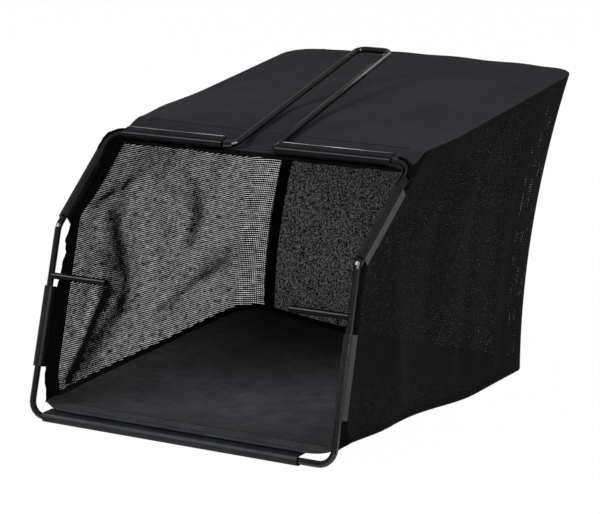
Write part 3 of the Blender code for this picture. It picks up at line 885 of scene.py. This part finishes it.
def make_seam_bindings(material):
    """Binding tapes folded over the inner seams, once round the floor and once round the top."""
    kinds = [
        ("run", np.linspace(0, 1, 60)),
        ("arc", np.linspace(0, 1, 10)[1:]),
        ("back", np.linspace(0, 1, 24)[1:]),
    ]
    for name, base, way in (("floor_seam_binding", 0.0, 1), ("top_seam_binding", 1.0, -1)):
        rows = []
        for height, step in binding_fold:
            level = np.array([base + way * height / front_rise])
            right = wall_strip(RIGHT, kinds, level, binding_inset + step)
            left = wall_strip(LEFT, kinds, level, binding_inset + step)
            rows.append(np.concatenate([right, left[:, -2::-1]], axis=1)[0])
        points = np.stack(rows[::way])
        along = binding_steps[0] * np.arange(points.shape[1])
        across = binding_steps[1] * np.arange(points.shape[0])
        uv = grid_map(along, across)
        obj = thick_grid(name, points, seam_binding_thick, material, uv, angle=70)
        dress(obj, "binding_tape", name.replace("binding", "tape"))


def make_corner_bindings(material):
    """Binding tapes up the two back corners, on the inside."""
    kinds = [("arc", np.linspace(0.9, 1, 3)), ("back", np.linspace(0, 0.054, 4)[1:])]
    v = np.linspace(corner_binding_low / front_rise, 1 - corner_binding_high / front_rise, 70)
    for side, word in SIDES:
        points = wall_strip(side, kinds, v, binding_inset)
        if side < 0:
            points = points[:, ::-1]
        across = np.linspace(0, corner_binding_width, points.shape[1])
        uv = grid_map(across, v * corner_binding_length)
        obj = thick_grid(f"back_{word}_binding", points, corner_binding_thick, material, uv)
        dress(obj, "binding_tape", f"back_{word}_tape")


def rod_corner(side, before, after):
    """Points along the rod round a top corner, with its directions outwards and backwards."""
    corner = np.array([side * frame_width_top / 2, top_bar_depth, bar_height + top_bar_height])
    kink = np.array([side * frame_width_kink / 2, kink_depth, bar_height + kink_height])
    down = unit(kink - corner)
    inward = np.array([-side, 0.0, 0.0])
    half = math.acos(float(down @ inward)) / 2
    centre = corner + unit(down + inward) * rod_bend_radius / math.sin(half)
    reach = rod_bend_radius / math.tan(half)
    start, end = corner + down * reach, corner + inward * reach
    first, last = unit(start - centre), unit(end - centre)
    turn = math.acos(float(first @ last))
    steps = np.linspace(0, 1, rod_bend_steps)[:, None]
    arms = (first * np.sin((1 - steps) * turn) + last * np.sin(steps * turn)) / math.sin(turn)
    lead = start + down * np.linspace(before, 0, rod_arm_steps + 1)[:-1, None]
    tail = end + inward * np.linspace(0, after, rod_arm_steps + 1)[1:, None]
    path = np.concatenate([lead, centre + rod_bend_radius * arms, tail])
    straight = np.ones((rod_arm_steps, 1))
    out = np.concatenate([straight * first, arms, straight * last])
    along = unit(np.gradient(path, axis=0))
    back = np.cross(along, out)
    back = back * np.where(back[:, 1:2] > 0, 1.0, -1.0)
    return path, out, back


def make_gather(side, word, material, turn, reach, swell):
    """Cloth gathered round a top corner of the rod.

    turn is the first and last angle round the rod, in degrees. reach is how far the cloth runs
    along the rod before and after the bend.
    """
    path, out, back = rod_corner(side, *reach)
    t = np.linspace(0, 1, len(path))[:, None]
    angle = np.radians(np.linspace(*turn, 40))[None, :]
    body = np.sin(math.pi * t) ** 0.7
    creased = 0.5 * np.sin(7 * math.pi * t + 2 * angle) + 0.3 * np.sin(13 * math.pi * t - 3 * angle)
    radius = gather_radius + swell * body * (0.75 + 0.25 * np.cos(angle - 0.9))
    radius = radius + gather_crease * body * creased
    arms = out[:, None, :] * np.cos(angle)[..., None] + back[:, None, :] * np.sin(angle)[..., None]
    points = path[:, None, :] + radius[..., None] * arms
    uv = grid_map(angle[0] * 0.006, t[:, 0] * 0.04)
    if side > 0:
        points, uv = points[:, ::-1], uv[:, ::-1]
    obj = thick_grid(f"{word}_corner_gather", points, cloth_thick, material, uv, angle=70)
    dress(obj, "woven_cloth")


def stitches(name, path, up, material):
    """A row of thread stitches that lie along a path. up points away from the cloth."""
    up = np.broadcast_to(up, path.shape)
    steps = np.linalg.norm(np.diff(path, axis=0), axis=1)
    along = np.concatenate([[0.0], np.cumsum(steps)])
    starts = stitch_pitch * np.arange(int(along[-1] / stitch_pitch))
    spots = starts[:, None] + stitch_length * stitch_rings
    centres = np.stack([np.interp(spots, along, path[:, i]) for i in range(3)], -1)
    lift = np.stack([np.interp(spots, along, up[:, i]) for i in range(3)], -1)
    centres = centres + lift * thread_radius * stitch_lift[:, None]
    ahead = unit(np.gradient(centres, axis=1))
    across = unit(np.cross(lift, ahead))
    radius = thread_radius * stitch_swell
    verts, faces = strands(centres, across, np.cross(ahead, across), radius, radius, sides=6)
    dress(new_object(name, verts, faces, material, angle=180), "binding_tape")


def make_stitching(thread):
    """Rows of stitches along the hems and the seams, and through the clips' flanges."""
    x = np.linspace(-hem_stitches_reach, hem_stitches_reach, 200)
    for name, surface, depth in (
        ("floor_hem_stitches", floor_surface, floor_hem_end - floor_stitch_inset),
        ("floor_front_stitches", floor_surface, floor_front_stitches),
        ("top_hem_stitches", top_surface, top_bar_depth + top_hem_width - top_stitch_inset),
        ("top_front_stitches", top_surface, top_bar_depth + top_front_stitches),
    ):
        y = depth + 0 * x
        stitches(name, np.stack([x, y, surface(x, y) + cloth_thick / 2], -1), (0.0, 0.0, 1.0), thread)
    v = np.linspace(0.03, 0.97, 200)
    run = np.linspace(0.01, 0.99, 200)
    for side, word in SIDES:
        inward = np.array([-side, 0.0, 0.0])
        for face, way in (("inner", inward), ("outer", -inward)):
            for label, value in (("front", 0.42), ("rear", 0.90)):
                spot = wall_point(side, "band", value + (1 - value) * band_recede(side, v), v)
                path = spot + way * band_thick / 2
                stitches(f"{word}_{face}_{label}_stitches", path, way, thread)
        for label, level in (("top", 0.975), ("floor", 0.022)):
            path = wall_point(side, "run", run, level) - inward * seam_stitch_lift
            stitches(f"{word}_{label}_seam_stitches", path, -inward, thread)


def make_beads(material):
    """The rolled edge along the lip of each top clip. Its pale colour is a painted highlight."""
    backwards, upwards = np.array([0.0, 1.0, 0.0]), np.array([0.0, 0.0, 1.0])
    for word, (low, high) in bead_ends.items():
        x = np.linspace(low, high, 40)
        y = top_bar_depth + bead_behind_bar + 0 * x
        z = bar_height + top_bar_height + bead_above_bar + bead_wave * np.sin(x * 90)
        radius = np.where((x == low) | (x == high), bead_end_share, 1.0) * bead_radius
        path = np.stack([x, y, z], -1)[None]
        verts, faces = strands(path, backwards, upwards, radius, radius, sides=8)
        dress(new_object(f"{word}_clip_bead", verts, faces, material), "clip_plastic")


def paint(names, material):
    """Gives CAD pieces a material."""
    for name in names:
        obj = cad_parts[name]
        obj.data.materials.clear()
        obj.data.materials.append(material)


def paint_frame():
    """Materials of the CAD pieces: rod, pins and clips."""
    dark, pale = (0.0028, 0.0030, 0.0042), (0.007, 0.0076, 0.0102)
    matte_dark, matte_pale = (0.008, 0.0088, 0.012), (0.017, 0.0185, 0.024)
    tops = ["top_left_clip", "top_right_clip"]
    posts = [f"{word}_{level}_clip" for _, word in SIDES for level in ("lower", "upper")]
    paint(["wire_frame"], enamel())
    pins = ["left_hanging_pin", "right_hanging_pin"]
    paint(pins, enamel("worn_enamel", shine=0.16, smooth=0.16, dull=0.34))
    paint(tops, profile_plastic("profile_plastic", dark, pale, rough=(0.22, 0.38), shine=0.11))
    paint(posts, profile_plastic("post_plastic", dark, pale, rough=(0.20, 0.34), shine=0.62))
    # The bottom clip's plastic is paler and rougher than the other clips'.
    matte = profile_plastic("matte_plastic", matte_dark, matte_pale, rough=(0.44, 0.60), shine=0.30)
    paint(["bottom_clip"], matte)


def make_object():
    paint_frame()
    # The beads are far paler than the clips' plastic: a painted highlight, the thin bright line along
    # each lip's edge.
    bead_highlight_dark, bead_highlight_pale = (0.05, 0.051, 0.055), (0.09, 0.092, 0.10)
    make_beads(profile_plastic("bead_painted_highlight", bead_highlight_dark, bead_highlight_pale, rough=(0.10, 0.22), shine=1.0))
    net = yarn("net_yarn", (0.0028, 0.0028, 0.0032), (0.0070, 0.0070, 0.0082))
    # The right net's yarn is a paler copy of the left net's: painted light on the net seen from outside.
    net_painted_lighter = yarn("net_yarn_painted_lighter", (0.0033, 0.0033, 0.0038), (0.0084, 0.0084, 0.0098))
    # The back knit's near-white specks are painted light on dark yarn.
    knit_dark, knit_painted_light = (0.034, 0.034, 0.038), (0.80, 0.80, 0.83)
    knit = yarn("back_yarn_painted_light", knit_dark, knit_painted_light, scale=720, stops=(0.45, 0.60))
    # The top cloth is painted darker towards the back: painted shade.
    top_painted_shade = [(0.14, 1), (0.28, 0.97), (0.47, 0.66)]
    canvas = woven("canvas", (0.0175, 0.0183, 0.0228), (0.0275, 0.0284, 0.0350), painted_shade=top_painted_shade)
    floor_dark, floor_pale = (0.067, 0.068, 0.075), (0.114, 0.115, 0.125)
    # The floor cloth is painted lightest at a depth of 0.15 m and darker towards the front and the back:
    # painted light and shade.
    floor_painted_shade = [(0.02, 0.36), (0.15, 1), (0.36, 0.36)]
    floor_canvas = woven("floor_canvas", floor_dark, floor_pale, mottling=0.35, painted_shade=floor_painted_shade)
    floor_hem = woven("floor_hem", (0.027, 0.028, 0.031), (0.052, 0.053, 0.058), mottling=0.35)
    hem_dark, hem_pale = (0.0014, 0.0014, 0.0017), (0.0032, 0.0032, 0.0038)
    hem = woven("hem_canvas", hem_dark, hem_pale, sheen=0.0, shine=0.06)
    tape = woven("tape_weave", (0.003, 0.003, 0.0033), (0.006, 0.006, 0.007), thread=0.0006)
    thread = yarn("sewing_thread", (0.003, 0.003, 0.0034), (0.008, 0.008, 0.009), 0.55, scale=2400)
    left_yarn = {"row_wide": 0.00079, "row_thick": 0.00030, "thread_wide": 0.00026, "arc_wide": 0.00044}
    right_yarn = {"row_wide": 0.00087, "row_thick": 0.00040, "thread_wide": 0.00035, "arc_wide": 0.00082}
    make_net(LEFT, "left", net, **left_yarn)
    make_net(RIGHT, "right", net_painted_lighter, **right_yarn)
    for side, word in SIDES:
        make_band(side, word, hem)
    make_gather(LEFT, "left", hem, turn=(-65, 205), reach=(0.016, 0.008), swell=0.0016)
    make_gather(RIGHT, "right", canvas, turn=(58, 205), reach=(0.012, 0.010), swell=0.0022)
    make_gather(RIGHT, "right_front", hem, (-60, 62), reach=(0.003, 0.001), swell=0.0012)
    make_back(knit)
    make_floor(floor_canvas, floor_hem)
    make_top(canvas, hem)
    make_seam_bindings(tape)
    make_corner_bindings(tape)
    make_stitching(thread)


# Floor, light and camera


lamp_target = Vector((0, 0.2, 0.12))
floor_glow_share = 0.985
world_light = 0.22


def area_light(name, place, size, power):
    """A rectangular lamp that points at the bag."""
    data = bpy.data.lights.new(name, "AREA")
    data.shape = "RECTANGLE"
    data.size, data.size_y = size
    data.energy = power
    obj = bpy.data.objects.new(name, data)
    bpy.context.scene.collection.objects.link(obj)
    obj.location = place
    obj.rotation_mode = "QUATERNION"
    obj.rotation_quaternion = (lamp_target - Vector(place)).to_track_quat("-Z", "Y")


def make_floor_stage():
    """A wide pale floor. Seen directly it glows white. It lights the bag as a pale surface does."""
    size = 30.0
    verts = [(-size, -size, 0), (size, -size, 0), (size, size, 0), (-size, size, 0)]
    s = Shader("pale_floor", (0.86, 0.86, 0.86), 0.9)
    glow = s.add("ShaderNodeEmission")
    glow.inputs["Color"].default_value = (1, 1, 1, 1)
    glow.inputs["Strength"].default_value = 1.0
    mix = s.add("ShaderNodeMixShader")
    share = s.maths("MULTIPLY", (s.add("ShaderNodeLightPath"), "Is Camera Ray"), floor_glow_share)
    s.join(share, 0, mix, 0)
    s.join(s.main, 0, mix, 1)
    s.join(glow, 0, mix, 2)
    s.join(mix, 0, s.nodes["Material Output"], "Surface")
    mesh = bpy.data.meshes.new("floor")
    mesh.from_pydata(verts, [], [(0, 1, 2, 3)])
    floor = bpy.data.objects.new("floor", mesh)
    mesh.materials.append(s.material)
    bpy.context.scene.collection.objects.link(floor)


def make_world():
    """The surroundings: white where the camera sees them, dim as a light on the bag."""
    world = bpy.data.worlds.new("studio")
    bpy.context.scene.world = world
    world.use_nodes = True
    nodes, links = world.node_tree.nodes, world.node_tree.links
    background = nodes["Background"]
    background.inputs["Color"].default_value = (1, 1, 1, 1)
    ray = nodes.new("ShaderNodeLightPath")
    seen = nodes.new("ShaderNodeMath")
    seen.operation = "MAXIMUM"
    links.new(ray.outputs["Is Camera Ray"], seen.inputs[0])
    links.new(ray.outputs["Is Transmission Ray"], seen.inputs[1])
    strength = nodes.new("ShaderNodeMapRange")
    strength.inputs["To Min"].default_value = world_light
    strength.inputs["To Max"].default_value = 1.0
    links.new(seen.outputs[0], strength.inputs["Value"])
    links.new(strength.outputs["Result"], background.inputs["Strength"])


def make_stage():
    make_floor_stage()
    make_world()
    area_light("key", (-1.3, -1.2, 1.9), (1.2, 1.2), 41)
    area_light("fill", (1.9, -0.9, 1.2), (1.4, 1.4), 21)
    area_light("back", (0.2, 2.2, 1.7), (1.6, 1.0), 9)


def make_camera():
    data = bpy.data.cameras.new("camera")
    data.sensor_width = 36.0
    data.lens = 144.0
    data.clip_start = 0.05
    data.clip_end = 100.0
    camera = bpy.data.objects.new("camera", data)
    bpy.context.scene.collection.objects.link(camera)
    place = Vector((1.07454, -1.68840, 0.63303))
    target = Vector((0.0535124, 0.124, 0.1485441))
    camera.location = place
    camera.rotation_mode = "QUATERNION"
    camera.rotation_quaternion = (target - place).to_track_quat("-Z", "Y")
    bpy.context.scene.camera = camera


make_object()
make_stage()
make_camera()
bpy.context.scene.view_settings.view_transform = "Standard"
